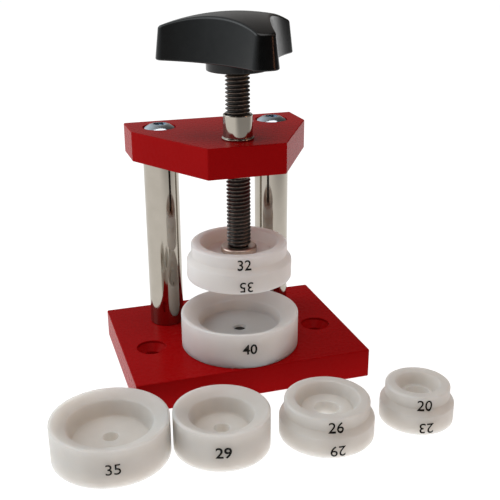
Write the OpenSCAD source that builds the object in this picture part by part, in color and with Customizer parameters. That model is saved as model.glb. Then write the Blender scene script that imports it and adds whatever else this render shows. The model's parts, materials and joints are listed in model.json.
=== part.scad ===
// Bench press for watch cases: a two-pillar frame, an M8 spindle with a
// three-lobe knob, a swivelling thrust foot and six nylon dies.
// Origin: on the spindle axis, at the underside of the base plate.
// +X is to the right, -Y is the open front, +Z is up.

/* [Base plate] */
// Width of the base plate, left to right
base_w = 80; // [70:1:100]
// Depth of the base plate, front to back
base_d = 60; // [56:1:80]
// Thickness of the base plate
base_t = 10; // [8:0.5:14]
// Distance from the spindle axis to the front edge of the base
base_front = 20; // [20:0.5:24]
// Distance between the two bench screw holes
bench_spacing = 60; // [56:1:64]
// Distance of the bench screw holes behind the spindle axis
bench_back = 5; // [0:0.5:8]
// Diameter of the bench screw holes
bench_hole_d = 5.5; // [4.5:0.1:6]
// Diameter of their countersinks at the surface
bench_sink_d = 10; // [9:0.1:12]

/* [Bridge plate] */
// Width of the bridge plate at the back
bridge_w = 61; // [58:0.5:70]
// Depth of the bridge plate, front to back
bridge_d = 46; // [44:0.5:52]
// Thickness of the bridge plate
bridge_t = 10; // [8:0.5:12]
// Length of its short side edges
bridge_side = 15; // [12:0.5:18]
// Length of its front edge
bridge_front_w = 25.5; // [20:0.5:30]
// Bevel along the edges of both plates
plate_bevel = 0.4; // [0.2:0.1:1]

/* [Pillars] */
// Diameter of the pillars
pillar_d = 12; // [10:0.5:14]
// Distance between the pillar axes
pillar_spacing = 40; // [38:0.5:40]
// Distance of the pillar axes behind the spindle axis
pillar_back = 25.5; // [25:0.5:28]
// Length of the pillars between the two plates
pillar_len = 61.5; // [58:0.5:70]
// Distance from the pillar axes to the back edge of the bridge plate
pillar_margin = 10; // [8:0.5:12]

/* [Spindle] */
// Outside diameter of the M8 spindle thread
spindle_d = 7.9; // [7.8:0.05:7.95]
// Radial running clearance of the spindle and its pivot
running_gap = 0.05; // [0.02:0.01:0.1]
// Outside diameter of the threaded bush in the bridge
bush_d = 9.5; // [9.5:0.1:11]
// Height of the bush above the bridge plate
bush_above = 8; // [6:0.5:10]
// Length of the bush below the bridge plate
bush_below = 2; // [1:0.5:3]
// Gap between the top of the bush and the knob at rest
knob_gap = 13.5; // [13.5:0.5:20]

/* [Knob] */
// Diameter over the three lobes
knob_d = 50.8; // [45:0.1:56]
// Width of a lobe at its tip
lobe_w = 8; // [6:0.5:9]
// Radius of the body at the middle of its hollow sides
knob_waist = 12; // [11:0.5:14]
// Height from the underside of the lobes to the crown
knob_h = 14.5; // [13:0.5:18]
// Fall of the crown from the centre to the lobe tips
knob_fall = 4.9; // [3:0.1:6]
// Diameter of the hub under the lobes
hub_d = 19.4; // [18:0.1:22]
// Height of the hub
hub_h = 3; // [2:0.5:5]
// Turn of the knob at rest, anticlockwise from +X to its first lobe
knob_turn = 34; // [0:1:119]

/* [Dies] */
// Height of every die
die_h = 12; // [11:0.5:14]
// Depth of the recess in the one-sided dies
recess_depth = 6.5; // [5:0.5:7]
// Width of the flat rim of the one-sided dies
rim_w = 0.9; // [0.6:0.1:1.5]
// Width of the rim and the sloping seat inside it, from the edge inwards
seat_w = 4.75; // [4:0.05:5.5]
// Drop of the sloping seat
seat_drop = 1.7; // [1:0.1:2.5]
// Width of the rim and the seat of the 40 mm die
seat_w_40 = 6; // [5:0.1:6]
// Drop of the seat of the 40 mm die
seat_drop_40 = 2.9; // [2:0.1:3.5]
// Depth of each recess in the two-sided dies
shallow_depth = 3.5; // [3:0.1:3.5]
// Width of the flat rim of the two-sided dies
wide_rim_w = 3.2; // [2.5:0.1:3.2]
// Diameter of the locating hole in the one-sided dies
pin_hole_d = 4.6; // [4:0.1:6]
// Diameter of the bore in the two-sided dies
stud_bore_d = 7.5; // [7:0.1:8]
// Height of the lower die's rim to the upper die's rim at rest
work_gap = 13.1; // [12.8:0.1:30]

/* [Hidden] */

$fn = 96;
eps = 0.01;        // how far a cutter runs past the face it opens
fit_gap = 0.02;    // radial gap of parts pressed or screwed together
part_gap = 0.05;   // gap between neighbouring fixed parts

// Levels
bridge_z = base_t + pillar_len;
bridge_top = bridge_z + bridge_t;
bridge_back = pillar_back + pillar_margin;
bridge_front = bridge_back - bridge_d;
bush_top = bridge_top + bush_above;
hub_z = bush_top + knob_gap;
lobe_z = hub_z + hub_h;
crown_z = lobe_z + knob_h;

// Pillar screws: M6, button heads above and low heads below
screw_d = 6;
screw_clear_d = 6.4;
button_d = 10.6;
button_h = 3.3;
button_dome_r = 8.4;
button_dome_drop = 5.1; // centre of the dome below the seat of the head
button_sunk = 1.6;
key_size = 4;           // across the flats of both kinds of socket
key_depth = 2;
low_head_d = 10;
low_head_h = 4;
low_head_sunk = low_head_h + 0.5;
head_hole_d = 11.2;
bench_sink_step = 0.8;   // straight part of the bench countersinks, above their cone
rod_edge = 0.3;         // bevel on the ends of pillars, pins and heads
tap_depth = 16;
thread_in = 12;

// Locating pin
pin_d = pin_hole_d - 0.1;
pin_in = 6;
pin_out = 4.5;

// Bush
bush_flange_d = bush_d + 0.9;
bush_flange_h = 0.8;
bush_chamfer = 0.5;

// Dies
floor_inset = 6.3;      // from the outside of a one-sided die to the floor of its recess
taper = 3.8 / 6.5;      // how far a recess wall leans in on the two-sided dies, per millimetre down
die_edge = 0.5;         // bevel on the outer edges of the dies
rim_edge = 0.3;         // bevel on the inner edge of a two-sided die's rim
big_h = 6.2;            // height of the large end of a two-sided die
shoulder_h = 2;         // height of its sloping shoulder
lower_die_top = base_t + die_h;
upper_die_z = lower_die_top + work_gap;
upper_floor = upper_die_z + die_h - shallow_depth;

// Places on the bench of the four loose dies
die_35_at = [-51.1, -38.3];
die_29_at = [-19, -43.8];
die_26_at = [13, -47.3];
die_20_at = [43.2, -47.6];

// Thrust foot: a flange on the die's floor and a stud in its bore
flange_d = 12;
flange_h = 2;
flange_edge = 0.7;
stud_d = stud_bore_d - 0.1;
stud_len = 4.7;
foot_edge = 0.2;        // bevel on the small edges of the foot
foot_dish_d = 6.8;
foot_dish_h = 0.7;
foot_top = upper_floor + flange_h;
pivot_d = 4;
pivot_len = 3.9;
pivot_gap = 0.1;        // end play of the pivot and of its snap ring
neck_d = 6.1;
neck_h = 0.6;
neck_z = foot_top - foot_dish_h + pivot_gap;
pivot_z = neck_z - pivot_len;
thread_edge = 0.6;      // bevel on both ends of the spindle thread
thread_z = neck_z + neck_h + thread_edge;
snap_z = upper_floor + 0.3;
snap_h = 0.7;
snap_groove_d = 3;
snap_out_d = 4.9;
ring_z = upper_floor - 3;
ring_groove_d = 6;
ring_groove_h = 1.4;
ring_squeeze = 0.03;

// Knob, its insert and the spindle's length in it
hub_into = 1;           // how far the hub runs up inside the lobes
insert_d = 12;
insert_len = 11.4;
insert_inset = 0.1;     // how far the insert lies inside the hub
spindle_in = 11;
tip_angle = atan2(lobe_w / 2, knob_d / 2);
corner_x = (knob_d / 2) * cos(60 - tip_angle);
corner_y = (knob_d / 2) * sin(60 - tip_angle);
hollow_rise = corner_x - knob_waist;
hollow_r = (hollow_rise * hollow_rise + corner_y * corner_y) / (2 * hollow_rise);
crown_r = (knob_d * knob_d / 4 + knob_fall * knob_fall) / (2 * knob_fall);

red = [0.60, 0.05, 0.05];
nickel = [0.78, 0.76, 0.72];
zinc = [0.70, 0.73, 0.76];
black_steel = [0.12, 0.12, 0.12];
black_plastic = [0.09, 0.10, 0.11];
dark_steel = [0.36, 0.32, 0.29];
brass_yellow = [0.72, 0.60, 0.32];
rubber_black = [0.06, 0.06, 0.06];
nylon_white = [0.90, 0.89, 0.86];

// A plate of the given outline, with its top and bottom edges bevelled.
// The outline is convex and runs anticlockwise.
module bevelled_plate(outline, thickness, bevel) {
    count = len(outline);
    difference() {
        linear_extrude(thickness)
            polygon(outline);
        for (i = [0 : count - 1]) {
            start = outline[i];
            run = outline[(i + 1) % count] - start;
            translate([start.x, start.y, 0])
                rotate([0, 0, atan2(run.y, run.x)])
                    for (level = [0, thickness])
                        translate([-bevel * 5, 0, level - bevel])
                            rotate([45, 0, 0])
                                cube([norm(run) + bevel * 10, bevel * sqrt(2), bevel * sqrt(2)]);
        }
    }
}

// A shaft with both ends bevelled
module bevelled_rod(d, h, bevel) {
    rotate_extrude()
        polygon([
            [0, 0], [d / 2 - bevel, 0], [d / 2, bevel],
            [d / 2, h - bevel], [d / 2 - bevel, h], [0, h]
        ]);
}

// A hexagonal socket, sunk from z = 0 downwards
module hex_socket(across_flats, depth) {
    translate([0, 0, -depth])
        cylinder(d = across_flats / cos(30), h = depth + eps, $fn = 6);
}

function base_outline() = [
    [-base_w / 2, -base_front],
    [base_w / 2, -base_front],
    [base_w / 2, base_d - base_front],
    [-base_w / 2, base_d - base_front]
];

function bridge_outline() = [
    [-bridge_front_w / 2, bridge_front],
    [bridge_front_w / 2, bridge_front],
    [bridge_w / 2, bridge_back - bridge_side],
    [bridge_w / 2, bridge_back],
    [-bridge_w / 2, bridge_back],
    [-bridge_w / 2, bridge_back - bridge_side]
];

module at_pillar(side) {
    translate([side * pillar_spacing / 2, pillar_back, 0])
        children();
}

// Cutter of a bench hole with its countersink
module bench_hole() {
    cone_top = base_t - bench_sink_step;
    cone_h = (bench_sink_d - bench_hole_d) / 2;
    rotate_extrude()
        polygon([
            [0, -eps],
            [bench_hole_d / 2, -eps],
            [bench_hole_d / 2, cone_top - cone_h],
            [bench_sink_d / 2, cone_top],
            [bench_sink_d / 2, base_t + eps],
            [0, base_t + eps]
        ]);
}

module base_plate() {
    color(red)
        difference() {
            bevelled_plate(base_outline(), base_t, plate_bevel);
            for (side = [-1, 1]) {
                translate([side * bench_spacing / 2, bench_back, 0])
                    bench_hole();
                at_pillar(side) {
                    translate([0, 0, -eps])
                        cylinder(d = screw_clear_d, h = base_t + 2 * eps);
                    translate([0, 0, -eps])
                        cylinder(d = head_hole_d, h = low_head_sunk + eps);
                }
            }
            translate([0, 0, base_t - pin_in])
                cylinder(d = pin_d + 2 * fit_gap, h = pin_in + eps);
        }
}

module bridge_plate() {
    color(red)
        difference() {
            translate([0, 0, bridge_z])
                bevelled_plate(bridge_outline(), bridge_t, plate_bevel);
            for (side = [-1, 1])
                at_pillar(side) {
                    translate([0, 0, bridge_z - eps])
                        cylinder(d = screw_clear_d, h = bridge_t + 2 * eps);
                    translate([0, 0, bridge_top - button_sunk])
                        cylinder(d = head_hole_d, h = button_sunk + eps);
                }
            translate([0, 0, bridge_z - eps])
                cylinder(d = bush_d + 2 * fit_gap, h = bridge_t + 2 * eps);
        }
}

module pillar(side) {
    color(nickel)
        at_pillar(side)
            difference() {
                translate([0, 0, base_t])
                    bevelled_rod(pillar_d, pillar_len, rod_edge);
                for (level = [base_t - eps, bridge_z - tap_depth + eps])
                    translate([0, 0, level])
                        cylinder(d = screw_d + 2 * fit_gap, h = tap_depth);
            }
}

module pillar_left() { pillar(-1); }
module pillar_right() { pillar(1); }

// Button-head screw, its seat at z = 0 and its thread below
module button_screw(thread) {
    color(zinc)
        difference() {
            union() {
                translate([0, 0, -thread])
                    cylinder(d = screw_d, h = thread + eps);
                intersection() {
                    cylinder(d = button_d, h = button_h);
                    translate([0, 0, -button_dome_drop])
                        sphere(r = button_dome_r);
                }
            }
            translate([0, 0, button_h])
                hex_socket(key_size, key_depth);
        }
}

module bridge_screw(side) {
    at_pillar(side)
        translate([0, 0, bridge_top - button_sunk + part_gap])
            button_screw(bridge_t - button_sunk + thread_in);
}

module bridge_screw_left() { bridge_screw(-1); }
module bridge_screw_right() { bridge_screw(1); }

// Low-head screw that holds a pillar from under the base
module base_screw(side) {
    seat = low_head_sunk - part_gap;
    color(zinc)
        at_pillar(side)
            difference() {
                union() {
                    translate([0, 0, seat - low_head_h])
                        bevelled_rod(low_head_d, low_head_h, rod_edge);
                    translate([0, 0, seat - eps])
                        cylinder(d = screw_d, h = base_t - seat + thread_in);
                }
                translate([0, 0, seat - low_head_h])
                    mirror([0, 0, 1])
                        hex_socket(key_size, key_depth);
            }
}

module base_screw_left() { base_screw(-1); }
module base_screw_right() { base_screw(1); }

module locating_pin() {
    color(black_steel)
        translate([0, 0, base_t - pin_in + part_gap])
            bevelled_rod(pin_d, pin_in + pin_out - part_gap, rod_edge);
}

module spindle_bush() {
    r = bush_d / 2;
    bore = spindle_d / 2 + running_gap;
    low = bridge_z - bush_below;
    flange_z = bridge_top + part_gap;
    color(nickel)
        rotate_extrude()
            polygon([
                [bore, low], [r - bush_chamfer, low], [r, low + bush_chamfer],
                [r, flange_z], [bush_flange_d / 2, flange_z],
                [bush_flange_d / 2, flange_z + bush_flange_h / 2],
                [r, flange_z + bush_flange_h],
                [r, bush_top - bush_chamfer / 2], [r - bush_chamfer / 2, bush_top],
                [bore + bush_chamfer / 2, bush_top], [bore, bush_top - bush_chamfer]
            ]);
}

module spindle() {
    r = spindle_d / 2;
    pivot_r = pivot_d / 2;
    groove_r = snap_groove_d / 2;
    groove_low = snap_z - part_gap;
    groove_high = snap_z + snap_h + part_gap;
    top = hub_z + spindle_in;
    color(black_steel)
        rotate_extrude()
            polygon([
                [0, pivot_z], [pivot_r - rod_edge, pivot_z], [pivot_r, pivot_z + rod_edge],
                [pivot_r, groove_low], [groove_r, groove_low],
                [groove_r, groove_high], [pivot_r, groove_high],
                [pivot_r, neck_z], [neck_d / 2, neck_z], [neck_d / 2, thread_z - thread_edge],
                [r, thread_z], [r, top - thread_edge], [r - thread_edge, top], [0, top]
            ]);
}

module pivot_snap_ring() {
    bore = snap_groove_d / 2 + part_gap;
    color(zinc)
        rotate_extrude()
            translate([bore, snap_z])
                square([snap_out_d / 2 - bore, snap_h]);
}

module thrust_foot() {
    stud_z = upper_floor - stud_len;
    stud_r = stud_d / 2;
    flange_z = upper_floor + part_gap;
    flange_r = flange_d / 2;
    groove_r = ring_groove_d / 2;
    groove_top = ring_z + ring_groove_h;
    dish_r = foot_dish_d / 2;
    dish_z = foot_top - foot_dish_h;
    bore = pivot_d / 2 + running_gap;
    bore_z = pivot_z - rod_edge;
    room_r = snap_out_d / 2 + pivot_gap;
    room_low = snap_z - pivot_gap;
    room_high = snap_z + snap_h + pivot_gap;
    color(dark_steel)
        rotate_extrude()
            polygon([
                [0, stud_z], [stud_r - rod_edge, stud_z], [stud_r, stud_z + rod_edge],
                [stud_r, ring_z], [groove_r, ring_z], [groove_r, groove_top], [stud_r, groove_top],
                [stud_r, flange_z], [flange_r - foot_edge, flange_z], [flange_r, flange_z + foot_edge],
                [flange_r, foot_top - flange_edge], [flange_r - flange_edge, foot_top],
                [dish_r + foot_edge, foot_top], [dish_r, foot_top - foot_edge],
                [dish_r, dish_z], [bore, dish_z],
                [bore, room_high], [room_r, room_high], [room_r, room_low], [bore, room_low],
                [bore, bore_z], [0, bore_z]
            ]);
}

module stud_o_ring() {
    inner = ring_groove_d / 2 + fit_gap;
    outer = stud_bore_d / 2 - ring_squeeze;
    color(rubber_black)
        rotate_extrude()
            translate([(inner + outer) / 2, ring_z + ring_groove_h / 2])
                circle(d = outer - inner, $fn = 48);
}

module knob() {
    color(black_plastic)
        difference() {
            union() {
                intersection() {
                    translate([0, 0, lobe_z])
                        linear_extrude(knob_h)
                            rotate(knob_turn)
                                difference() {
                                    circle(d = knob_d, $fn = 180);
                                    for (side = [0 : 2])
                                        rotate(60 + 120 * side)
                                            translate([knob_waist + hollow_r, 0])
                                                circle(r = hollow_r, $fn = 180);
                                }
                    translate([0, 0, crown_z - crown_r])
                        sphere(r = crown_r, $fn = 180);
                }
                translate([0, 0, hub_z])
                    cylinder(d = hub_d, h = hub_h + hub_into);
            }
            translate([0, 0, hub_z - eps])
                cylinder(d = insert_d + 2 * fit_gap, h = insert_inset + insert_len + fit_gap + eps);
        }
}

module knob_insert() {
    color(brass_yellow)
        difference() {
            translate([0, 0, hub_z + insert_inset])
                bevelled_rod(insert_d, insert_len, rod_edge);
            translate([0, 0, hub_z])
                cylinder(d = spindle_d + 2 * fit_gap, h = spindle_in + part_gap);
        }
}

// One-sided die: a straight ring with a sloping seat, a steep recess inside it and a pin hole
module one_sided_die(d, width = seat_w, drop = seat_drop) {
    r = d / 2;
    floor_z = die_h - recess_depth;
    floor_r = r - floor_inset;
    color(nylon_white)
        rotate_extrude()
            polygon([
                [pin_hole_d / 2, 0], [r - die_edge, 0], [r, die_edge],
                [r, die_h - die_edge], [r - die_edge, die_h],
                [r - rim_w, die_h], [r - width, die_h - drop],
                [floor_r, floor_z], [pin_hole_d / 2, floor_z]
            ]);
}

// Two-sided die: a stepped ring with a shallow recess at each end and a stud bore
module two_sided_die(d_up, d_down) {
    up = d_up / 2;
    down = d_down / 2;
    high_floor = die_h - shallow_depth;
    lean = shallow_depth * taper;
    color(nylon_white)
        rotate_extrude()
            polygon([
                [stud_bore_d / 2, shallow_depth],
                [down - wide_rim_w - lean, shallow_depth], [down - wide_rim_w, rim_edge],
                [down - wide_rim_w + rim_edge, 0], [down - die_edge, 0], [down, die_edge],
                [down, big_h], [up, big_h + shoulder_h],
                [up, die_h - die_edge], [up - die_edge, die_h],
                [up - wide_rim_w + rim_edge, die_h], [up - wide_rim_w, die_h - rim_edge],
                [up - wide_rim_w - lean, high_floor], [stud_bore_d / 2, high_floor]
            ]);
}

module die_40() {
    translate([0, 0, base_t])
        one_sided_die(40, seat_w_40, seat_drop_40);
}

module die_32_35() {
    translate([0, 0, upper_die_z])
        two_sided_die(32, 35);
}

module die_35() { translate(die_35_at) one_sided_die(35); }
module die_29() { translate(die_29_at) one_sided_die(29); }
module die_26_29() { translate(die_26_at) two_sided_die(26, 29); }
module die_20_23() { translate(die_20_at) two_sided_die(20, 23); }

base_plate();
bridge_plate();
pillar_left();
pillar_right();
bridge_screw_left();
bridge_screw_right();
base_screw_left();
base_screw_right();
spindle_bush();
locating_pin();
spindle();
knob();
knob_insert();
pivot_snap_ring();
thrust_foot();
stud_o_ring();
die_40();
die_32_35();
die_35();
die_29();
die_26_29();
die_20_23();
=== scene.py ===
"""Looks of the watch case press: finished pieces, materials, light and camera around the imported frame.

Sizes in this script are millimetres in the frame's own axes, and MM turns them into Blender's metres.
"""
import json
import math

import bmesh
import bpy
from mathutils import Euler, Matrix, Vector

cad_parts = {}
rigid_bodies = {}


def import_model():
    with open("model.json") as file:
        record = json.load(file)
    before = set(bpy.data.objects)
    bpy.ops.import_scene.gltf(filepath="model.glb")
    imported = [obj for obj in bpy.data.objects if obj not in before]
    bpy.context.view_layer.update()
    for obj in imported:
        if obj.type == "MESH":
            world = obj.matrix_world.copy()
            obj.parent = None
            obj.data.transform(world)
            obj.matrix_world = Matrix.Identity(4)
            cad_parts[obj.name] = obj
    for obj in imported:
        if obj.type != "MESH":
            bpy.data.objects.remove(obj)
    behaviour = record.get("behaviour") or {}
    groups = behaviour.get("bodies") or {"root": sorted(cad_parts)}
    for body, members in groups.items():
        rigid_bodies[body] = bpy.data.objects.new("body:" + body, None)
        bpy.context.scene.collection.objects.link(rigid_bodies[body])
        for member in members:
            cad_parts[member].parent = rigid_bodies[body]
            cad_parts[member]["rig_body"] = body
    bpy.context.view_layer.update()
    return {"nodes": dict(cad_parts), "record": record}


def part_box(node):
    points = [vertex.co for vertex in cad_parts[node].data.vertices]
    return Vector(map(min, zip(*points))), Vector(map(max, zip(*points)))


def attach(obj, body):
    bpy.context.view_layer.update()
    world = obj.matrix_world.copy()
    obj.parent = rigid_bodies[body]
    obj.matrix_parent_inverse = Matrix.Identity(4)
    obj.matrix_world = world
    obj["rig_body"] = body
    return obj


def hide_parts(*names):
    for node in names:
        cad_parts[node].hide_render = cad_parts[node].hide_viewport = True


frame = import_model()

MM = 0.001
NODES = frame["nodes"]
SLOT_OF = {part["node"]: part["material_slot"] for part in frame["record"]["subparts"]}

# ---------------------------------------------------------------- sizes in mm

# Shared
FIT_GAP = 0.02             # radial gap of parts screwed or pressed together
PART_GAP = 0.05            # gap between neighbouring parts
PAST = 1                   # how far a cutter runs past the face it opens
EDGE_STEPS = 5             # steps of a rounded edge

# Plates
EDGE_ROUND = 0.35          # rounding along the edges of both plates
CORNER_ROUND = 0.6         # rounding of their upright corners
BRIDGE_SIDE = 15           # length of the bridge's short side edges
BRIDGE_FRONT_W = 25.5      # length of its front edge
BENCH_SPACING = 60
BENCH_BACK = 5
BENCH_HOLE_R = 2.75
BENCH_SINK_R = 5
BENCH_SINK_STEP = 0.8      # straight part of the countersinks, above their cone
HEAD_HOLE_R = 5.6          # counterbores of the pillar screws
SCREW_CLEAR_R = 3.2
HOLE_LIP = 0.15            # bevel at the mouth of the holes in the top faces
BUTTON_SUNK = 1.6
LOW_HEAD_SUNK = 4.5
PIN_IN = 6

# Screws
SCREW_R = 3
BUTTON_H = 3.3
BUTTON_DOME_R = 8.4
KEY_SIZE = 4               # across the flats of the sockets
KEY_DEPTH = 2
LOW_HEAD_H = 4
BUTTON_FLAT_R = 2.9        # flat top of the domed heads, around the socket

# Pillars and bush
PILLAR_EDGE = 0.3
PILLAR_BORE_DEPTH = 16
BUSH_R = 4.75
BUSH_BORE_R = 4.0
FLANGE_EDGE_H = 0.5        # height of the bush's flange at its edge
FLANGE_H = 0.8             # and at the bush

# Spindle and foot
PITCH = 1.25
THREAD_DEPTH = 0.6134 * PITCH
THREAD_COLUMNS = 60        # steps around the thread
SHEEN_AND_RUBBED_R = (3.6, 3.95)     # radii over which the thread goes from black to brown crests: a painted sheen, and rubbed wear
NECK_R = 3.05
NECK_H = 0.6
PIVOT_R = 2
FOOT_DISH_R = 3.4          # shallow dish in the foot, under the spindle's neck
FOOT_DISH_DEPTH = 0.7
FOOT_FLOOR_T = 1           # thickness of the stud's closed end

# Knob
LOBE_W = 8
KNOB_R = 25.4
KNOB_WAIST = 12
KNOB_TURN = 34
KNOB_FALL = 4.9
HUB_H = 3
HUB_R = 9.7
HUB_EDGE = 0.4             # rounding of the hub's lower edge
KNOB_CORNER = 3.3          # radius of the corners between lobe tips and hollow sides
KNOB_DRAFT = 6             # lean of the sides, in degrees
KNOB_TOP_EDGE = 0.8
KNOB_LOW_EDGE = 0.5
HOLLOW_STEPS = 14          # steps along half of a hollow side
CORNER_STEPS = 6           # steps around a corner
TIP_STEPS = 4              # steps along half of a lobe tip
CROWN_LEVELS = 16          # rings on the crown
INSERT_R = 6.02
INSERT_DEPTH = 11.5

# Dies
STEP = 3                   # difference of the two diameters of a two-sided die
RECESS_DEPTH = 6.5
SHALLOW_DEPTH = 3.5
TAPER = 3.8 / 6.5          # how far a two-sided die's recess wall leans in, per millimetre down
RIM_W = 0.9                # flat rim of the one-sided dies
SEAT = (4.75, 1.7)         # width of their rim and sloping seat, and the seat's drop
SEAT_40 = (6, 2.9)         # the same for the 40 mm die
FLOOR_INSET = 6.3          # from their outside to the floor of the recess
WIDE_RIM_W = 3.2
PIN_HOLE_R = 2.3
STUD_BORE_R = 3.75
BIG_H = 6.2
SHOULDER_H = 2
DIE_STEPS = 6              # steps of a die's rounded corners
DIGIT_H = 3.5              # height of the printed numbers
CAP_SHARE = 0.73           # height of the font's digits as a share of its size
DIGIT_SLICES = 24          # strips that a number is cut into each way, so that it bends
INK_T = 0.03               # how far the ink may stand out; the dies are drawn that much smaller
INK_SHARE = 0.9            # share of that height which the ink takes up

# Studio
FLOOR_HALF = 8000
FLOOR_Z = -0.05            # just below the feet of the dies, so that no faces coincide
FADE_WAY = (0.6, -0.8, 0)  # the floor's glow fades this way, towards the front right
WINDOW_WAY = (-0.766, 0.643, 0)  # from the press towards the brightest wall


def box_mm(node):
    """The low and high corners of a CAD node's box."""
    low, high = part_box(node)
    return low / MM, high / MM


def centre_mm(node):
    """The middle of a CAD node's box."""
    low, high = box_mm(node)
    return (low + high) / 2


# ---------------------------------------------------------------- mesh tools

def make_piece(name, points, faces, at=(0, 0, 0)):
    """A mesh object from points in mm, placed at a point in mm, with its normals outwards."""
    mesh = bpy.data.meshes.new(name)
    mesh.from_pydata([Vector(p) * MM for p in points], [], faces)
    tidy_mesh(mesh)
    piece = bpy.data.objects.new(name, mesh)
    piece.location = Vector(at) * MM
    bpy.context.scene.collection.objects.link(piece)
    return piece


def tidy_mesh(mesh, weld=0.0005):
    """Welds points closer than weld mm, drops what has no area and turns the normals outwards."""
    work = bmesh.new()
    work.from_mesh(mesh)
    bmesh.ops.remove_doubles(work, verts=work.verts, dist=weld * MM)
    bmesh.ops.dissolve_degenerate(work, edges=work.edges, dist=weld * MM / 10)
    bmesh.ops.recalc_face_normals(work, faces=work.faces)
    work.to_mesh(mesh)
    work.free()


def final_mesh(piece):
    """The piece's mesh with its modifiers applied."""
    bpy.context.view_layer.update()
    graph = bpy.context.evaluated_depsgraph_get()
    return bpy.data.meshes.new_from_object(piece.evaluated_get(graph))


def cut(piece, cutter):
    """Takes the cutter's shape out of the piece."""
    change = piece.modifiers.new("cut", "BOOLEAN")
    change.operation = "DIFFERENCE"
    change.solver = "EXACT"
    change.object = cutter
    mesh = final_mesh(piece)
    piece.modifiers.clear()
    piece.data = mesh
    bpy.data.objects.remove(cutter)


def dress(piece, node, sharp=38):
    """Lets the piece stand for a CAD node: same body, same material slot, smooth shading."""
    slot = SLOT_OF[node]
    piece.data.shade_smooth()
    piece.data.set_sharp_from_angle(angle=math.radians(sharp))
    even = piece.modifiers.new("even_normals", "WEIGHTED_NORMAL")
    even.keep_sharp = True
    piece.data.materials.clear()
    piece.data.materials.append(MATERIALS[slot])
    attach(piece, NODES[node]["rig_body"])
    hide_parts(node)
    return piece


def arc(centre, radius, start, end, steps):
    """Points on an arc, from one angle in degrees to another, both ends included."""
    angles = [math.radians(start + (end - start) * i / steps) for i in range(steps + 1)]
    return [(centre[0] + radius * math.cos(a), centre[1] + radius * math.sin(a)) for a in angles]


def rounded(corners, steps=5, closed=True):
    """An outline through corners (x, y, radius), each rounded to its radius."""
    outline = []
    count = len(corners)
    for i, (x, y, radius) in enumerate(corners):
        at_end = not closed and i in (0, count - 1)
        if radius == 0 or at_end:
            outline.append((x, y))
            continue
        here = Vector((x, y))
        to_last = (Vector(corners[i - 1][:2]) - here).normalized()
        to_next = (Vector(corners[(i + 1) % count][:2]) - here).normalized()
        half = to_last.angle(to_next) / 2
        centre = here + (to_last + to_next).normalized() * (radius / math.sin(half))
        first = here + to_last * (radius / math.tan(half)) - centre
        last = here + to_next * (radius / math.tan(half)) - centre
        turn = last.angle_signed(first)
        for k in range(steps + 1):
            spoke = Matrix.Rotation(turn * k / steps, 2) @ first
            outline.append(tuple(centre + spoke))
    return outline


def revolve(name, outline, at=(0, 0, 0), steps=96):
    """A solid of revolution about the upright line through at.

    The outline is (r, z) points: closed, or open with both its ends on the axis.
    """
    open_ends = outline[0][0] == 0 and outline[-1][0] == 0
    points = []
    rings = []
    for r, z in outline:
        if r == 0:
            rings.append([len(points)] * steps)
            points.append((0, 0, z))
        else:
            rings.append(range(len(points), len(points) + steps))
            points += [(x, y, z) for x, y in arc((0, 0), r, 0, 360, steps)[:-1]]
    pairs = list(zip(rings, rings[1:]))
    if not open_ends:
        pairs.append((rings[-1], rings[0]))
    faces = []
    for low, high in pairs:
        for i in range(steps):
            k = (i + 1) % steps
            face = dict.fromkeys((low[i], low[k], high[k], high[i]))
            faces.append(tuple(face))
    return make_piece(name, points, faces, at)


def stack(name, rings, at=(0, 0, 0), top=None, bottom=None):
    """A skin through closed rings of equal length, capped by a point or by one flat face."""
    count = len(rings[0])
    points = [p for ring in rings for p in ring]
    faces = []
    for level in range(len(rings) - 1):
        low = level * count
        for i in range(count):
            k = (i + 1) % count
            faces.append((low + i, low + k, low + count + k, low + count + i))
    for cap, start in ((bottom, 0), (top, len(points) - count)):
        if cap is None:
            faces.append(tuple(range(start, start + count)))
        else:
            tip = len(points)
            points.append(cap)
            faces += [(start + i, start + (i + 1) % count, tip) for i in range(count)]
    return make_piece(name, points, faces, at)


def inset_ring(loop, inset, z):
    """The loop of (point, outward normal) pairs, moved inwards and put at height z."""
    return [(p[0] - n[0] * inset, p[1] - n[1] * inset, z) for p, n in loop]


def plate_loop(corners, radius, steps=EDGE_STEPS):
    """Points and normals around a convex, anticlockwise outline with rounded corners."""
    loop = []
    count = len(corners)
    for i, corner in enumerate(corners):
        here = Vector(corner)
        arrive = (here - Vector(corners[i - 1])).normalized()
        leave = (Vector(corners[(i + 1) % count]) - here).normalized()
        normal = Vector((arrive.y, -arrive.x))
        turn = leave.angle_signed(arrive)
        reach = radius / math.cos(turn / 2)
        centre = here - (normal + Vector((leave.y, -leave.x))).normalized() * reach
        for k in range(steps + 1):
            n = Matrix.Rotation(turn * k / steps, 2) @ normal
            loop.append((centre + n * radius, n))
    return loop


def rounded_edge(radius):
    """Steps round an edge as (distance from its end, distance from its start) pairs."""
    turns = [math.pi / 2 * i / EDGE_STEPS for i in range(EDGE_STEPS + 1)]
    return [(radius * (1 - math.sin(turn)), radius * (1 - math.cos(turn))) for turn in turns]


def plate(name, corners, low, high):
    """A flat plate with rounded edges and corners."""
    loop = plate_loop(corners, CORNER_ROUND)
    rings = []
    for inset, rise in rounded_edge(EDGE_ROUND):
        rings.append(inset_ring(loop, inset, low + rise))
    for drop, inset in rounded_edge(EDGE_ROUND):
        rings.append(inset_ring(loop, inset, high - drop))
    return stack(name, rings)


def hole_cutter(x, y, outline):
    """A round cutter from (r, z) pairs, upwards, starting and ending off the axis."""
    closed = [(0, outline[0][1])] + outline + [(0, outline[-1][1])]
    return revolve("cutter", closed, (x, y, 0), 72)


# ---------------------------------------------------------------- materials

def new_material(name):
    """A new material, with its node tree and its shader."""
    material = bpy.data.materials.new(name)
    material.use_nodes = True
    tree = material.node_tree
    shader = tree.nodes["Principled BSDF"]
    return material, tree, shader


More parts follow.
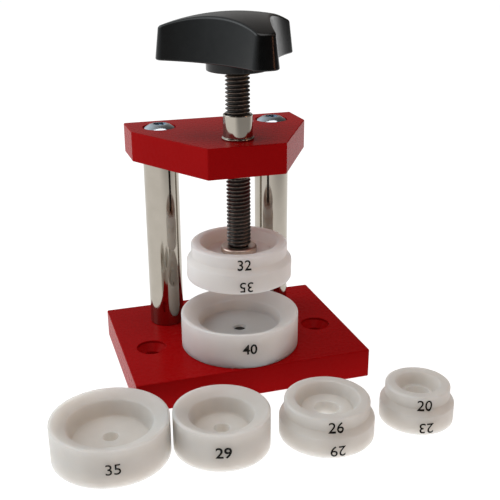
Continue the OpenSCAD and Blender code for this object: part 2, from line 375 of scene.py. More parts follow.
def add_node(tree, kind, inputs=None, **settings):
    """A node with its settings, and its inputs linked to a socket or set to a value."""
    node = tree.nodes.new(kind)
    for key, value in settings.items():
        setattr(node, key, value)
    for key, value in (inputs or {}).items():
        if isinstance(value, bpy.types.NodeSocket):
            tree.links.new(value, node.inputs[key])
        else:
            node.inputs[key].default_value = value
    return node


def object_coordinates(tree, stretch=(1, 1, 1)):
    """Coordinates in metres on the piece itself, stretched along its axes."""
    source = add_node(tree, "ShaderNodeTexCoord")
    mapping = add_node(tree, "ShaderNodeMapping", {"Vector": source.outputs["Object"], "Scale": stretch})
    return mapping.outputs["Vector"]


def noise(tree, grain_mm, detail=2, stretch=(1, 1, 1)):
    """Noise whose grains are about grain_mm across."""
    return add_node(tree, "ShaderNodeTexNoise", {
        "Vector": object_coordinates(tree, stretch), "Scale": 1 / (grain_mm * MM), "Detail": detail,
    }).outputs["Fac"]


def spread(tree, value, low, high):
    """A 0 to 1 value as a number between low and high."""
    return add_node(tree, "ShaderNodeMapRange", {
        "Value": value, "From Min": 0.25, "From Max": 0.75, "To Min": low, "To Max": high,
    }).outputs["Result"]


def between(tree, factor, first, second):
    """A colour between two colours."""
    ramp = add_node(tree, "ShaderNodeValToRGB", {"Fac": factor})
    ramp.color_ramp.elements[0].position = 0.25
    ramp.color_ramp.elements[0].color = (*first, 1)
    ramp.color_ramp.elements[1].position = 0.75
    ramp.color_ramp.elements[1].color = (*second, 1)
    return ramp.outputs["Color"]


def bump(tree, height, depth_mm):
    """A normal that follows a 0 to 1 height over depth_mm."""
    return add_node(tree, "ShaderNodeBump", {
        "Height": height, "Distance": depth_mm * MM, "Strength": 1.0,
    }).outputs["Normal"]


def radius_from_axis(tree):
    """Distance from the piece's own upright axis, in metres."""
    flat = object_coordinates(tree, (1, 1, 0))
    return add_node(tree, "ShaderNodeVectorMath", {0: flat}, operation="LENGTH").outputs["Value"]


def turning_rings(tree, pitch_mm):
    """Rings left by a lathe tool on a flat face, from -1 to 1."""
    turns = add_node(tree, "ShaderNodeMath", {
        0: radius_from_axis(tree), 1: math.tau / (pitch_mm * MM),
    }, operation="MULTIPLY").outputs[0]
    return add_node(tree, "ShaderNodeMath", {0: turns}, operation="SINE").outputs[0]


def red_finish():
    """Red anodised plate: satin, with a fine grain and a slow change of depth in the colour."""
    material, tree, shader = new_material("red_finish")
    colour = between(tree, noise(tree, 14, 3), (0.325, 0.0026, 0.0034), (0.345, 0.0036, 0.0044))
    tree.links.new(colour, shader.inputs["Base Color"])
    tree.links.new(spread(tree, noise(tree, 1.6, 4), 0.26, 0.29), shader.inputs["Roughness"])
    tree.links.new(bump(tree, noise(tree, 0.22, 3), 0.001), shader.inputs["Normal"])
    shader.inputs["IOR"].default_value = 1.08
    return material


def nickel():
    """Polished nickel plate with faint lengthways polishing marks."""
    material, tree, shader = new_material("nickel")
    colour = between(tree, noise(tree, 6, 3), (0.37, 0.340, 0.290), (0.41, 0.375, 0.325))
    tree.links.new(colour, shader.inputs["Base Color"])
    tree.links.new(spread(tree, noise(tree, 0.8, 4, (1, 1, 0.08)), 0.05, 0.11), shader.inputs["Roughness"])
    tree.links.new(bump(tree, noise(tree, 0.5, 2, (1, 1, 0.1)), 0.0008), shader.inputs["Normal"])
    shader.inputs["Metallic"].default_value = 1
    return material


def zinc():
    """Bright zinc plate, bluish, with the fine crystals of the plating."""
    material, tree, shader = new_material("zinc")
    colour = between(tree, noise(tree, 1.2, 4), (0.45, 0.53, 0.60), (0.58, 0.66, 0.72))
    tree.links.new(colour, shader.inputs["Base Color"])
    tree.links.new(spread(tree, noise(tree, 0.4, 3), 0.10, 0.18), shader.inputs["Roughness"])
    tree.links.new(bump(tree, noise(tree, 0.25, 2), 0.003), shader.inputs["Normal"])
    shader.inputs["Metallic"].default_value = 1
    return material


def black_steel(name, dark, sheen_and_rubbed):
    """Blackened steel, oiled, with brown painted on the crests of a thread: a painted sheen, and rubbed
    wear.
    """
    material, tree, shader = new_material(name)
    # the crests get a painted brown sheen, which also stands for rubbed wear
    crest = add_node(tree, "ShaderNodeMapRange", {
        "Value": radius_from_axis(tree),
        "From Min": SHEEN_AND_RUBBED_R[0] * MM, "From Max": SHEEN_AND_RUBBED_R[1] * MM, "To Min": 0, "To Max": 1,
    }).outputs["Result"]
    sheen_and_wear = add_node(tree, "ShaderNodeMath", {
        0: crest, 1: noise(tree, 0.7, 3),
    }, operation="MULTIPLY").outputs[0]
    colour = between(tree, sheen_and_wear, dark, sheen_and_rubbed)
    tree.links.new(colour, shader.inputs["Base Color"])
    tree.links.new(spread(tree, noise(tree, 0.5, 3), 0.24, 0.40), shader.inputs["Roughness"])
    tree.links.new(bump(tree, noise(tree, 0.2, 3), 0.004), shader.inputs["Normal"])
    shader.inputs["Metallic"].default_value = 0.85
    return material


def foot_steel():
    """Dark turned steel with the rings of the lathe tool."""
    material, tree, shader = new_material("foot_steel")
    colour = between(tree, noise(tree, 1.5, 4), (0.52, 0.42, 0.36), (0.66, 0.55, 0.48))
    tree.links.new(colour, shader.inputs["Base Color"])
    tree.links.new(spread(tree, noise(tree, 0.6, 3), 0.30, 0.42), shader.inputs["Roughness"])
    tree.links.new(bump(tree, turning_rings(tree, 0.12), 0.002), shader.inputs["Normal"])
    shader.inputs["Metallic"].default_value = 1
    return material


def black_plastic():
    """Satin black moulding with a fine orange-peel skin."""
    material, tree, shader = new_material("black_plastic")
    colour = between(tree, noise(tree, 9, 3), (0.0010, 0.0013, 0.0014), (0.0020, 0.0023, 0.0024))
    tree.links.new(colour, shader.inputs["Base Color"])
    tree.links.new(spread(tree, noise(tree, 2.5, 4), 0.19, 0.25), shader.inputs["Roughness"])
    tree.links.new(bump(tree, noise(tree, 0.5, 2), 0.004), shader.inputs["Normal"])
    shader.inputs["IOR"].default_value = 1.38
    return material


def brass():
    """Turned brass with the rings of the lathe tool."""
    material, tree, shader = new_material("brass")
    colour = between(tree, noise(tree, 1.5, 3), (0.55, 0.38, 0.14), (0.66, 0.47, 0.20))
    tree.links.new(colour, shader.inputs["Base Color"])
    tree.links.new(spread(tree, noise(tree, 0.5, 3), 0.18, 0.30), shader.inputs["Roughness"])
    tree.links.new(bump(tree, turning_rings(tree, 0.15), 0.002), shader.inputs["Normal"])
    shader.inputs["Metallic"].default_value = 1
    return material


def rubber():
    """Dull black rubber."""
    material, tree, shader = new_material("rubber")
    colour = between(tree, noise(tree, 1, 3), (0.010, 0.010, 0.010), (0.020, 0.019, 0.018))
    tree.links.new(colour, shader.inputs["Base Color"])
    tree.links.new(spread(tree, noise(tree, 0.4, 3), 0.5, 0.7), shader.inputs["Roughness"])
    tree.links.new(bump(tree, noise(tree, 0.2, 2), 0.004), shader.inputs["Normal"])
    return material


def nylon(name, low_colour, high_colour):
    """Turned natural nylon: milky, light passes a little way into it, faint tool rings."""
    material, tree, shader = new_material(name)
    colour = between(tree, noise(tree, 8, 3), low_colour, high_colour)
    tree.links.new(colour, shader.inputs["Base Color"])
    tree.links.new(spread(tree, noise(tree, 0.9, 4), 0.42, 0.56), shader.inputs["Roughness"])
    rings = add_node(tree, "ShaderNodeMath", {
        0: turning_rings(tree, 0.35), 1: noise(tree, 0.4, 2),
    }, operation="MULTIPLY").outputs[0]
    tree.links.new(bump(tree, rings, 0.006), shader.inputs["Normal"])
    shader.inputs["IOR"].default_value = 1.45
    shader.inputs["Subsurface Weight"].default_value = 1
    shader.inputs["Subsurface Radius"].default_value = (1.0, 0.90, 0.82)
    shader.inputs["Subsurface Scale"].default_value = 12 * MM
    return material


def ink():
    """Black printing ink, a little thin in places."""
    material, tree, shader = new_material("ink")
    colour = between(tree, noise(tree, 0.3, 3), (0.003, 0.003, 0.003), (0.010, 0.010, 0.009))
    tree.links.new(colour, shader.inputs["Base Color"])
    tree.links.new(spread(tree, noise(tree, 0.3, 2), 0.45, 0.65), shader.inputs["Roughness"])
    shader.inputs["IOR"].default_value = 1.2
    return material


MATERIALS = {
    "red_finish": red_finish(), "nickel": nickel(), "zinc": zinc(),
    "black_steel": black_steel("black_steel", (0.065, 0.060, 0.056), (0.27, 0.205, 0.165)),
    "foot_steel": foot_steel(), "black_plastic": black_plastic(), "brass": brass(), "rubber": rubber(),
    "nylon": nylon("nylon", (0.72, 0.69, 0.67), (0.76, 0.73, 0.71)),
}
# the locating pin is blacker than the spindle
PIN_BLACK = black_steel("black_pin", (0.004, 0.004, 0.004), (0.020, 0.018, 0.016))
# the loose dies get a darker copy of the nylon: painted shade, which holds them down where the glowing
# floor lights them more than the two in the press
SHADED_NYLON = nylon("nylon_painted_shade", (0.555, 0.540, 0.515), (0.600, 0.585, 0.560))
INK = ink()


# ---------------------------------------------------------------- frame of the press

def base_plate():
    low, high = box_mm("base_plate")
    corners = [(low.x, low.y), (high.x, low.y), (high.x, high.y), (low.x, high.y)]
    piece = plate("red_base", corners, low.z, high.z)
    cone_top = high.z - BENCH_SINK_STEP
    for side in (-1, 1):
        cut(piece, hole_cutter(side * BENCH_SPACING / 2, BENCH_BACK, [
            (BENCH_HOLE_R, low.z - PAST),
            (BENCH_HOLE_R, cone_top - (BENCH_SINK_R - BENCH_HOLE_R)),
            (BENCH_SINK_R, cone_top),
            (BENCH_SINK_R, high.z - HOLE_LIP),
            (BENCH_SINK_R + HOLE_LIP, high.z),
            (BENCH_SINK_R + HOLE_LIP, high.z + PAST),
        ]))
    for node in ("base_screw_left", "base_screw_right"):
        middle = centre_mm(node)
        cut(piece, hole_cutter(middle.x, middle.y, [
            (HEAD_HOLE_R, low.z - PAST), (HEAD_HOLE_R, low.z + LOW_HEAD_SUNK),
            (SCREW_CLEAR_R, low.z + LOW_HEAD_SUNK), (SCREW_CLEAR_R, high.z + PAST),
        ]))
    pin_low, pin_high = box_mm("locating_pin")
    pin_r = (pin_high.x - pin_low.x) / 2
    cut(piece, hole_cutter(0, 0, [(pin_r, high.z - PIN_IN), (pin_r, high.z + PAST)]))
    return dress(piece, "base_plate")


def bridge_plate():
    low, high = box_mm("bridge_plate")
    corners = [
        (-BRIDGE_FRONT_W / 2, low.y), (BRIDGE_FRONT_W / 2, low.y),
        (high.x, high.y - BRIDGE_SIDE), (high.x, high.y), (low.x, high.y), (low.x, high.y - BRIDGE_SIDE),
    ]
    piece = plate("red_bridge", corners, low.z, high.z)
    for node in ("bridge_screw_left", "bridge_screw_right"):
        middle = centre_mm(node)
        cut(piece, hole_cutter(middle.x, middle.y, [
            (SCREW_CLEAR_R, low.z - PAST), (SCREW_CLEAR_R, high.z - BUTTON_SUNK),
            (HEAD_HOLE_R, high.z - BUTTON_SUNK), (HEAD_HOLE_R, high.z - HOLE_LIP),
            (HEAD_HOLE_R + HOLE_LIP, high.z), (HEAD_HOLE_R + HOLE_LIP, high.z + PAST),
        ]))
    hole_r = BUSH_R + FIT_GAP
    cut(piece, hole_cutter(0, 0, [(hole_r, low.z - PAST), (hole_r, high.z + PAST)]))
    return dress(piece, "bridge_plate")


def pillar(node):
    low, high = box_mm(node)
    r = (high.x - low.x) / 2
    h = high.z - low.z
    middle = centre_mm(node)
    bore_r = SCREW_R + FIT_GAP
    depth = PILLAR_BORE_DEPTH
    outline = rounded([
        (bore_r, 0, 0), (r, 0, PILLAR_EDGE), (r, h, PILLAR_EDGE), (bore_r, h, 0), (bore_r, h - depth, 0),
    ])
    outline = [(0, depth), (bore_r, depth)] + outline + [(0, h - depth)]
    return dress(revolve("nickel_" + node, outline, (middle.x, middle.y, low.z), 96), node)


def hex_cutter(x, y, z, depth):
    """A hexagonal socket with a pointed floor, sunk from height z by depth, which may be upwards."""
    past = 0.5 * (1 if depth > 0 else -1)
    r = KEY_SIZE / 2 / math.cos(math.pi / 6)
    ring = arc((0, 0), r, 0, 360, 6)[:-1]
    rings = [[(px, py, level) for px, py in ring] for level in (-depth, past)]
    return stack("cutter", rings, (x, y, z), bottom=(0, 0, -depth * 1.25))


def button_screw(node):
    """A pillar screw with a domed head, a flat around its socket and a rounded lower edge."""
    low, high = box_mm(node)
    middle = centre_mm(node)
    top = high.z - low.z
    seat = high.z - BUTTON_H - low.z
    head_r = (high.x - low.x) / 2
    dome_z = top - BUTTON_DOME_R
    side_h = dome_z + math.sqrt(BUTTON_DOME_R ** 2 - head_r ** 2)
    flat_z = dome_z + math.sqrt(BUTTON_DOME_R ** 2 - BUTTON_FLAT_R ** 2)
    lean = math.degrees(math.atan2(side_h - dome_z, head_r))
    rise = math.degrees(math.atan2(flat_z - dome_z, BUTTON_FLAT_R))
    shank = [(0, 0), (SCREW_R - 0.5, 0), (SCREW_R, 0.5), (SCREW_R, seat)]
    lower_edge = [(head_r - 0.25, seat), (head_r - 0.07, seat + 0.07), (head_r, seat + 0.25)]
    upper_edge = [(head_r, side_h - 0.2), (head_r - 0.05, side_h - 0.02)]
    dome = arc((0, dome_z), BUTTON_DOME_R, lean + 2, rise, 8)
    outline = shank + lower_edge + upper_edge + dome + [(0, flat_z)]
    piece = revolve("screw_" + node, outline, (middle.x, middle.y, low.z), 72)
    cut(piece, hex_cutter(middle.x, middle.y, high.z, KEY_DEPTH))
    return dress(piece, node, 30)


def low_screw(node):
    """A pillar screw with a low round head, put in from under the base."""
    low, high = box_mm(node)
    middle = centre_mm(node)
    head_r = (high.x - low.x) / 2
    h = high.z - low.z
    outline = [(0, 0)] + rounded([
        (0, 0, 0), (head_r, 0, 0.4), (head_r, LOW_HEAD_H, 0.2), (SCREW_R, LOW_HEAD_H, 0),
        (SCREW_R, h, 0.5), (0, h, 0),
    ], 4, closed=False)[1:]
    piece = revolve("screw_" + node, outline, (middle.x, middle.y, low.z), 72)
    cut(piece, hex_cutter(middle.x, middle.y, low.z, -KEY_DEPTH))
    return dress(piece, node, 30)


def bush():
    """The spindle's bush, with a thin flange where it stands on the bridge plate."""
    low, high = box_mm("spindle_bush")
    flange_r = (high.x - low.x) / 2
    flange_z = box_mm("bridge_plate")[1].z + PART_GAP
    outline = rounded([
        (BUSH_BORE_R, low.z, 0.3), (BUSH_R, low.z, 0.5), (BUSH_R, flange_z, 0),
        (flange_r, flange_z, 0.15), (flange_r, flange_z + FLANGE_EDGE_H, 0.25),
        (BUSH_R, flange_z + FLANGE_H, 0.1), (BUSH_R, high.z, 0.35), (BUSH_BORE_R, high.z, 0.5),
    ], 4)
    return dress(revolve("nickel_bush", outline, (0, 0, 0), 96), "spindle_bush")


# ---------------------------------------------------------------- spindle, foot and knob

def thread_profile(major):
    """One pitch of the thread as (height along the axis, radius) pairs, from crest to crest."""
    root = major - THREAD_DEPTH
    crest = PITCH / 16
    flank = THREAD_DEPTH * math.tan(math.radians(30))
    soft = 0.03
    root_half = PITCH / 2 - crest - flank
    return [
        (-crest, major), (crest, major), (crest + soft, major - soft),
        (PITCH / 2 - root_half, root + soft), (PITCH / 2, root), (PITCH / 2 + root_half, root + soft),
        (PITCH - crest - soft, major - soft),
    ]


def threaded_rod(name, start, end, major):
    """A thread of the given outer radius between two heights, with a cone at both ends."""
    end_r = major - THREAD_DEPTH - 0.05
    profile = thread_profile(major)
    turns = math.ceil((end - start) / PITCH) + 2
    points = []
    for column in range(THREAD_COLUMNS + 1):
        share = column / THREAD_COLUMNS
        angle = math.tau * share
        for turn in range(turns):
            for along, r in profile:
                z = start + (turn - 1 + share) * PITCH + along
                r = min(r, NECK_R + max(z - start, 0), end_r + max(end - z, 0))
                z = min(max(z, start), end)
                points.append((r * math.cos(angle), r * math.sin(angle), z))
    rows = turns * len(profile)
    faces = [
        (c * rows + i, (c + 1) * rows + i, (c + 1) * rows + i + 1, c * rows + i + 1)
        for c in range(THREAD_COLUMNS) for i in range(rows - 1)
    ]
    rod = make_piece(name, points, faces)
    close_ends(rod)
    return rod


def spindle():
    """The threaded spindle, with a neck and a pivot at its lower end."""
    low, high = box_mm("spindle")
    neck_z = box_mm("thrust_foot")[1].z - NECK_H
    start = neck_z + NECK_H
    rod = threaded_rod("black_spindle", start, high.z, (high.x - low.x) / 2)
    pivot = revolve("spindle_pivot", [
        (0, low.z), (PIVOT_R - 0.3, low.z), (PIVOT_R, low.z + 0.3), (PIVOT_R, neck_z),
        (NECK_R - 0.1, neck_z), (NECK_R, neck_z + 0.1), (NECK_R, start + 0.05), (0, start + 0.05),
    ], steps=THREAD_COLUMNS)
    join(rod, pivot)
    return dress(rod, "spindle", 45)


def close_ends(piece):
    """Caps the open rims of a mesh."""
    work = bmesh.new()
    work.from_mesh(piece.data)
    rims = [e for e in work.edges if e.is_boundary]
    bmesh.ops.holes_fill(work, edges=rims, sides=0)
    bmesh.ops.recalc_face_normals(work, faces=work.faces)
    work.to_mesh(piece.data)
    work.free()


def join(piece, other):
    """Adds the other piece's mesh to the piece."""
    work = bmesh.new()
    work.from_mesh(piece.data)
    work.from_mesh(other.data)
    work.to_mesh(piece.data)
    work.free()
    bpy.data.objects.remove(other)


def thrust_foot():
    """The foot: a flange with a dish on top, and a stud that goes into the upper die."""
    low, high = box_mm("thrust_foot")
    flange_r = (high.x - low.x) / 2
    flange_z = box_mm("die_32_35")[1].z - SHALLOW_DEPTH + PART_GAP
    stud_r = STUD_BORE_R - PART_GAP
    dish_z = high.z - FOOT_DISH_DEPTH
    bore = PIVOT_R + PART_GAP
    bore_z = low.z + FOOT_FLOOR_T
    outline = rounded([
        (0, low.z, 0), (stud_r, low.z, 0.4), (stud_r, flange_z, 0), (flange_r, flange_z, 0.2),
        (flange_r, high.z, 0.75), (FOOT_DISH_R, high.z, 0.2), (FOOT_DISH_R, dish_z, 0.15),
        (bore, dish_z, 0), (bore, bore_z, 0), (0, bore_z, 0),
    ], 5, closed=False)
    return dress(revolve("steel_foot", outline, (0, 0, 0), 96), "thrust_foot")


def half_third(hollow_r, reach):
    """A sixth of the knob's outline: half a hollow side, a corner and half a lobe tip.

    It starts on the +x axis, where the hollow side's centre is also found, at reach.
    """
    # the corner's centre is a corner radius inside the tip circle and outside the hollow circle
    inner = KNOB_R - KNOB_CORNER
    gap = hollow_r + KNOB_CORNER
    spread_angle = math.acos((inner ** 2 + reach ** 2 - gap ** 2) / (2 * inner * reach))
    centre = Vector((inner * math.cos(spread_angle), inner * math.sin(spread_angle)))
    hollow = Vector((reach, 0))
    side_angle = math.atan2(centre.y, centre.x - reach)
    path = []
    for i in range(HOLLOW_STEPS):
        a = math.pi + (side_angle - math.pi) * i / HOLLOW_STEPS
        n = Vector((-math.cos(a), -math.sin(a)))
        path.append((hollow - n * hollow_r, n))
    for i in range(CORNER_STEPS + 1):
        start = side_angle - math.pi
        a = start + (spread_angle - start) * i / CORNER_STEPS
        n = Vector((math.cos(a), math.sin(a)))
        path.append((centre + n * KNOB_CORNER, n))
    for i in range(1, TIP_STEPS + 1):
        a = spread_angle + (math.pi / 3 - spread_angle) * i / TIP_STEPS
        n = Vector((math.cos(a), math.sin(a)))
        path.append((n * KNOB_R, n))
    return path


def knob_loop():
    """Points and outward normals around the three-lobed outline, at its widest level."""
    tip_half = math.atan2(LOBE_W / 2, KNOB_R)
    edge_x = KNOB_R * math.cos(math.pi / 3 - tip_half)
    edge_y = KNOB_R * math.sin(math.pi / 3 - tip_half)
    rise = edge_x - KNOB_WAIST
    hollow_r = (rise ** 2 + edge_y ** 2) / (2 * rise)
    after = half_third(hollow_r, KNOB_WAIST + hollow_r)
    before = [(Vector((p.x, -p.y)), Vector((n.x, -n.y))) for p, n in reversed(after[1:-1])]
    loop = []
    for lobe in range(3):
        # each third has the middle of its hollow side in its own +x direction
        turn = Matrix.Rotation(math.radians(KNOB_TURN + 60 + 120 * lobe), 2)
        loop += [(turn @ p, turn @ n) for p, n in before + after]
    return loop


def hub_rings(loop, low, lobe_z, bore_top):
    """Rings from the top of the insert's bore, under the hub and up its side to the lobes."""
    spokes = [p.normalized() for p, n in loop]
    profile = [
        (INSERT_R, bore_top), (INSERT_R, low), (HUB_R - HUB_EDGE, low),
        (HUB_R - 0.3 * HUB_EDGE, low + 0.3 * HUB_EDGE), (HUB_R, low + HUB_EDGE), (HUB_R, lobe_z),
    ]
    return [[(r * spoke.x, r * spoke.y, z) for spoke in spokes] for r, z in profile]


def crown_ring(loop, crown, lobe_z, inset_at, height_at):
    """The loop where the leaning sides meet the crown, moved inwards and down."""
    draft = math.tan(math.radians(KNOB_DRAFT))
    ring = []
    for p, n in loop:
        level = crown(p.x, p.y)
        for _ in range(3):
            inset = (level - lobe_z) * draft + inset_at
            q = p - n * inset
            level = crown(q.x, q.y)
        ring.append((q.x, q.y, level - height_at))
    return ring


def knob():
    """The knob: a hub, three lobes with leaning sides and hollows between them, and a crown."""
    low, high = box_mm("knob")
    lobe_z = low.z + HUB_H
    bore_top = low.z + INSERT_DEPTH
    crown_r = (KNOB_R ** 2 + KNOB_FALL ** 2) / (2 * KNOB_FALL)
    loop = knob_loop()

    def crown(x, y):
        return high.z - crown_r + math.sqrt(crown_r ** 2 - x * x - y * y)

    rings = hub_rings(loop, low.z, lobe_z, bore_top)
    for inset, rise in rounded_edge(KNOB_LOW_EDGE):
        rings.append(inset_ring(loop, inset, lobe_z + rise))
    for drop, inset in rounded_edge(KNOB_TOP_EDGE):
        rings.append(crown_ring(loop, crown, lobe_z, inset, drop))
    edge = rings[-1]
    for i in range(1, CROWN_LEVELS):
        share = 1 - i / CROWN_LEVELS
        rings.append([(x * share, y * share, crown(x * share, y * share)) for x, y, z in edge])
    piece = stack("black_knob", rings, (0, 0, 0), top=(0, 0, high.z), bottom=(0, 0, bore_top))
    return dress(piece, "knob", 50)


# ---------------------------------------------------------------- dies

def one_sided_outline(r, h, seat_w, seat_drop):
    """The outline of a one-sided die, from its corners as (r, z, rounding)."""
    floor_z = h - RECESS_DEPTH
    return rounded([
        (PIN_HOLE_R, 0, 0.2), (r, 0, 0.35), (r, h, 0.6), (r - RIM_W, h, 1.0),
        (r - seat_w, h - seat_drop, 0.9), (r - FLOOR_INSET, floor_z, 0.7), (PIN_HOLE_R, floor_z, 0.2),
    ], DIE_STEPS)


def two_sided_outline(r, h):
    """The outline of a two-sided die, from its corners as (r, z, rounding)."""
    up = r - STEP / 2
    floor_z = h - SHALLOW_DEPTH
    lean = SHALLOW_DEPTH * TAPER
    return rounded([
        (STUD_BORE_R, SHALLOW_DEPTH, 0.2), (r - WIDE_RIM_W - lean, SHALLOW_DEPTH, 0.4),
        (r - WIDE_RIM_W, 0, 0.8), (r, 0, 0.5), (r, BIG_H, 1.2), (up, BIG_H + SHOULDER_H, 0.8),
        (up, h, 0.8), (up - WIDE_RIM_W, h, 0.8), (up - WIDE_RIM_W - lean, floor_z, 0.4),
        (STUD_BORE_R, floor_z, 0.2),
    ], DIE_STEPS)


def die_outline(node):
    """The closed (r, z) outline of a die: two-sided where its name holds two diameters."""
    low, high = box_mm(node)
    r = (high.x - low.x) / 2 - INK_T
    h = high.z - low.z
    if node.count("_") == 2:
        return two_sided_outline(r, h)
    return one_sided_outline(r, h, *(SEAT_40 if node == "die_40" else SEAT))


def foot_of(node):
    """The point under the middle of a CAD node, at its lowest level."""
    middle = centre_mm(node)
    return Vector((middle.x, middle.y, box_mm(node)[0].z))


def die(node):
    return dress(revolve("nylon_" + node, die_outline(node), foot_of(node), 128), node, 60)


def outer_radius(outline, z):
    """The outermost radius of a closed outline at a height."""
    found = []
    for (r1, z1), (r2, z2) in zip(outline, outline[1:] + outline[:1]):
        if z1 != z2 and min(z1, z2) <= z <= max(z1, z2):
            found.append(r1 + (r2 - r1) * (z - z1) / (z2 - z1))
    return max(found)


def text_mesh(text, weight):
    """The flat, raised mesh of a printed number. The weight widens its strokes, in mm."""
    curve = bpy.data.curves.new("number", "FONT")
    curve.body = text
    curve.size = DIGIT_H * MM / CAP_SHARE
    curve.extrude = INK_T * MM
    curve.offset = weight * MM
    curve.align_x = "CENTER"
    curve.align_y = "CENTER"
    curve.resolution_u = 6
    text_object = bpy.data.objects.new("number", curve)
    bpy.context.scene.collection.objects.link(text_object)
    mesh = final_mesh(text_object)
    bpy.data.objects.remove(text_object)
    return mesh


def slice_both_ways(work, xs, ys):
    """Cuts a mesh into strips along x and along y, so that it can bend."""
    for places, way in ((xs, Vector((1, 0, 0))), (ys, Vector((0, 1, 0)))):
        for i in range(1, DIGIT_SLICES):
            at = min(places) + (max(places) - min(places)) * i / DIGIT_SLICES
            geometry = work.verts[:] + work.edges[:] + work.faces[:]
            bmesh.ops.bisect_plane(work, geom=geometry, plane_co=way * at, plane_no=way)


def number(text, node, angle, height, upside_down=False, weight=0.0):
    """A number printed on the side of a die, around an angle in degrees and centred at a height."""
    outline = die_outline(node)
    r = outer_radius(outline, height)
    mesh = text_mesh(text, weight)
    work = bmesh.new()
    work.from_mesh(mesh)
    xs = [v.co.x for v in work.verts]
    ys = [v.co.y for v in work.verts]
    centre = Vector(((min(xs) + max(xs)) / 2, (min(ys) + max(ys)) / 2, 0))
    slice_both_ways(work, xs, ys)
    way = -1 if upside_down else 1
    for v in work.verts:
        flat = (v.co - centre) * way / MM
        around = math.radians(angle) + flat.x / r
        out = outer_radius(outline, height + flat.y) + v.co.z / MM * INK_SHARE
        v.co = Vector((out * math.cos(around), out * math.sin(around), height + flat.y)) * MM
    bmesh.ops.recalc_face_normals(work, faces=work.faces)
    work.to_mesh(mesh)
    work.free()
    piece = bpy.data.objects.new("number_" + text + "_on_" + node, mesh)
    piece.location = foot_of(node) * MM
    bpy.context.scene.collection.objects.link(piece)
    mesh.materials.clear()
    mesh.materials.append(INK)
    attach(piece, NODES[node]["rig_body"])
    return piece


# ---------------------------------------------------------------- stage

def floor():
    """A pale floor that glows white around the press and fades towards the front right."""
    half = FLOOR_HALF
    points = [(-half, -half, 0), (half, -half, 0), (half, half, 0), (-half, half, 0)]
    piece = make_piece("floor", points, [(0, 1, 2, 3)], (0, 0, FLOOR_Z))
    material, tree, shader = new_material("floor_white")
    shader.inputs["Base Color"].default_value = (0.30, 0.30, 0.30, 1)
    shader.inputs["Roughness"].default_value = 0.8
    shader.inputs["Specular IOR Level"].default_value = 0
    shader.inputs["Emission Color"].default_value = (1.0, 1.0, 1.0, 1)
    along_fade = add_node(tree, "ShaderNodeVectorMath", {
        0: object_coordinates(tree), 1: FADE_WAY,
    }, operation="DOT_PRODUCT").outputs["Value"]
    glow = add_node(tree, "ShaderNodeMapRange", {
        "Value": along_fade, "From Min": 0.06, "From Max": 0.32, "To Min": 0.93, "To Max": 0.25,
    }, interpolation_type="SMOOTHSTEP").outputs["Result"]
    tree.links.new(glow, shader.inputs["Emission Strength"])
    piece.data.materials.append(material)


def softbox(name, place, target, size, power, colour):
    """A rectangular area light that faces its target. Places in mm, power in watts."""
    light = bpy.data.lights.new(name, "AREA")
    light.shape = "RECTANGLE"
    light.size = size[0] * MM
    light.size_y = size[1] * MM
    light.energy = power
    light.color = colour
    lamp = bpy.data.objects.new(name, light)
    lamp.location = Vector(place) * MM
    way = Vector(target) - Vector(place)
    lamp.rotation_euler = way.to_track_quat("-Z", "Y").to_euler()
    bpy.context.scene.collection.objects.link(lamp)


def studio_walls(tree):
    """A soft room with its window at the left, behind the press, and dim towards the front right."""
    way = add_node(tree, "ShaderNodeTexCoord").outputs["Generated"]
    to_window = add_node(tree, "ShaderNodeVectorMath", {
        0: way, 1: WINDOW_WAY,
    }, operation="DOT_PRODUCT").outputs["Value"]
    share = add_node(tree, "ShaderNodeMapRange", {
        "Value": to_window, "From Min": -0.3, "From Max": 0.95, "To Min": 0, "To Max": 1,
    }).outputs["Result"]
    glow = add_node(tree, "ShaderNodeMath", {0: share, 1: 2}, operation="POWER").outputs[0]
    strength = add_node(tree, "ShaderNodeMath", {
        0: glow, 1: 0.95, 2: 0.06,
    }, operation="MULTIPLY_ADD").outputs[0]
    height = add_node(tree, "ShaderNodeSeparateXYZ", {"Vector": way}).outputs["Z"]
    haze = add_node(tree, "ShaderNodeMapRange", {
        "Value": height, "From Min": 0.08, "From Max": 0.28, "To Min": 0.75, "To Max": 1.15,
    }).outputs["Result"]
    total = add_node(tree, "ShaderNodeMath", {0: strength, 1: haze}, operation="MULTIPLY").outputs[0]
    colour = between(tree, share, (1.0, 0.88, 0.80), (0.92, 0.98, 1.0))
    tree.links.new(colour, tree.nodes["Background"].inputs["Color"])
    tree.links.new(total, tree.nodes["Background"].inputs["Strength"])


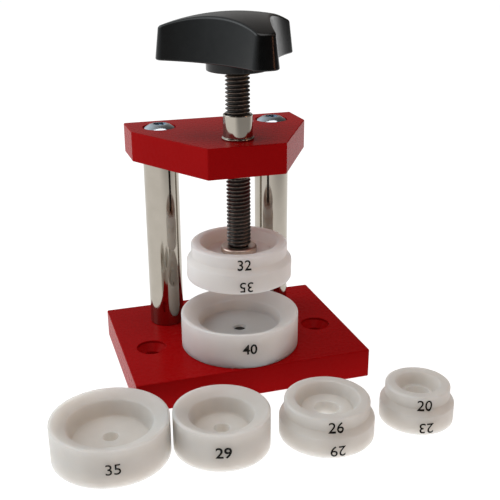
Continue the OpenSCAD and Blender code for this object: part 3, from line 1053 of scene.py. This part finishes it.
def daylight():
    """The studio's walls, a window, two large soft lights and a narrow warm lamp."""
    scene = bpy.context.scene
    world = bpy.data.worlds.new("studio")
    world.use_nodes = True
    studio_walls(world.node_tree)
    scene.world = world
    scene.view_settings.view_transform = "Standard"
    softbox("window_left", (-700, 200, 500), (0, 0, 40), (500, 500), 1.6, (0.93, 0.98, 1.0))
    softbox("fill_right", (900, -300, 900), (0, 0, 40), (900, 700), 1.1, (1.0, 0.74, 0.60))
    softbox("ceiling", (0, -150, 1000), (0, 0, 0), (800, 800), 4.6, (1.0, 0.99, 0.98))
    softbox("warm_lamp", (750, -650, 220), (0, 0, 120), (60, 420), 0.5, (1.0, 0.42, 0.22))


def camera():
    """The camera stands left of the press, above it, and looks slightly down."""
    place = (-75.3, -250.1, 142.0)
    turn = math.radians(-17.56)
    dip = math.radians(-20.62)
    roll = math.radians(-0.27)
    data = bpy.data.cameras.new("camera")
    data.sensor_width = 36
    data.lens = 60.33
    data.clip_start = 0.01
    data.clip_end = 20
    view = bpy.data.objects.new("camera", data)
    view.rotation_euler = (
        Euler((math.pi / 2 + dip, 0, turn)).to_matrix() @ Matrix.Rotation(roll, 3, "Z")
    ).to_euler()
    view.location = Vector(place) * MM
    bpy.context.scene.collection.objects.link(view)
    bpy.context.scene.camera = view


# ---------------------------------------------------------------- everything together

camera()
daylight()
floor()

base_plate()
bridge_plate()
for side in ("left", "right"):
    pillar("pillar_" + side)
    button_screw("bridge_screw_" + side)
    low_screw("base_screw_" + side)
bush()
spindle()
thrust_foot()
knob()

for node in ("die_40", "die_32_35"):
    die(node)
# the loose dies take the darker copy of the nylon: painted shade
for node in ("die_35", "die_29", "die_26_29", "die_20_23"):
    die(node).data.materials[0] = SHADED_NYLON

number("40", "die_40", -97.3, 6.8, weight=0.09)
number("35", "die_35", -96.4, 6.05, weight=0.02)
number("29", "die_29", -103.7, 6.3, weight=0.09)
for upper, above, lower, below, node in (
    ("32", -100.7, "35", -99.2, "die_32_35"),
    ("26", -100.6, "29", -98.8, "die_26_29"),
    ("20", -105.3, "23", -102.0, "die_20_23"),
):
    number(upper, node, above, 9.4, weight=0.03)
    number(lower, node, below, 2.45, upside_down=True, weight=0.03)

for node in ("locating_pin", "knob_insert", "pivot_snap_ring", "stud_o_ring"):
    for slot in NODES[node].material_slots:
        slot.material = PIN_BLACK if node == "locating_pin" else MATERIALS[SLOT_OF[node]]
